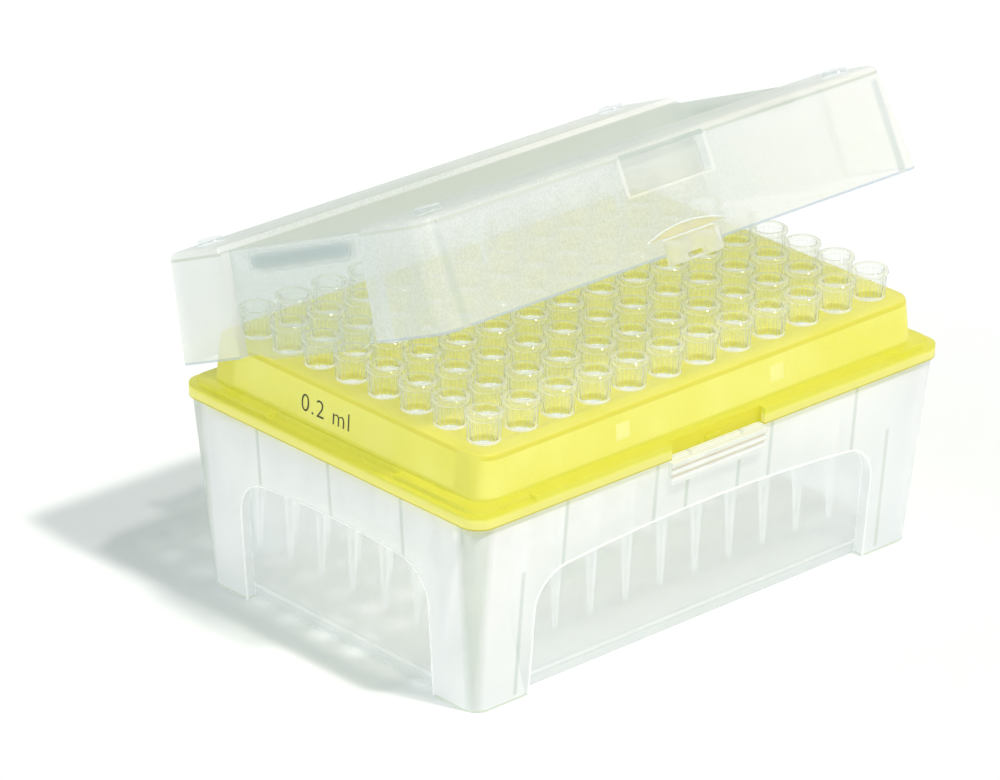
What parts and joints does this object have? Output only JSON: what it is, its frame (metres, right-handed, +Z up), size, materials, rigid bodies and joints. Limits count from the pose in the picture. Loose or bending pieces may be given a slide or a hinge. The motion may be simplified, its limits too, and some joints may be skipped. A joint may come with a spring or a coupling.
{
  "type": "hinged rack box of pipette tips",
  "caption": "Frosted hinged rack box standing open, with a coloured tray that holds loose pipette tips in a square grid.",
  "frame": {"origin": "centre of the footprint, on the table under the four corner feet", "axes": "+Z up; +X along the long side; +Y to the back, where the hinge is; the latch is at -Y"},
  "size_m": [0.1214, 0.0914, 0.0937],
  "materials": {
    "base_frosted": "frosted translucent polypropylene",
    "lid_frosted": "frosted translucent polypropylene",
    "tray_yellow": "translucent yellow polypropylene",
    "tip_clear": "clear polypropylene"
  },
  "bodies": {
    "base": {"base": "base_frosted", "tip_tray": "tray_yellow", "tips_column_01": "tip_clear", "tips_column_02": "tip_clear", "tips_column_03": "tip_clear", "tips_column_04": "tip_clear", "tips_column_05": "tip_clear", "tips_column_06": "tip_clear", "tips_column_07": "tip_clear", "tips_column_08": "tip_clear", "tips_column_09": "tip_clear", "tips_column_10": "tip_clear", "tips_column_11": "tip_clear", "tips_column_12": "tip_clear"},
    "lid": {"lid": "lid_frosted"}
  },
  "joints": [
    {"name": "lid_hinge", "type": "hinge", "parent": "base", "child": "lid", "pos_m": [0, 0.046, 0.0411], "axis": [-1, 0, 0], "range_deg": [-22.4, 87.6]}
  ]
}
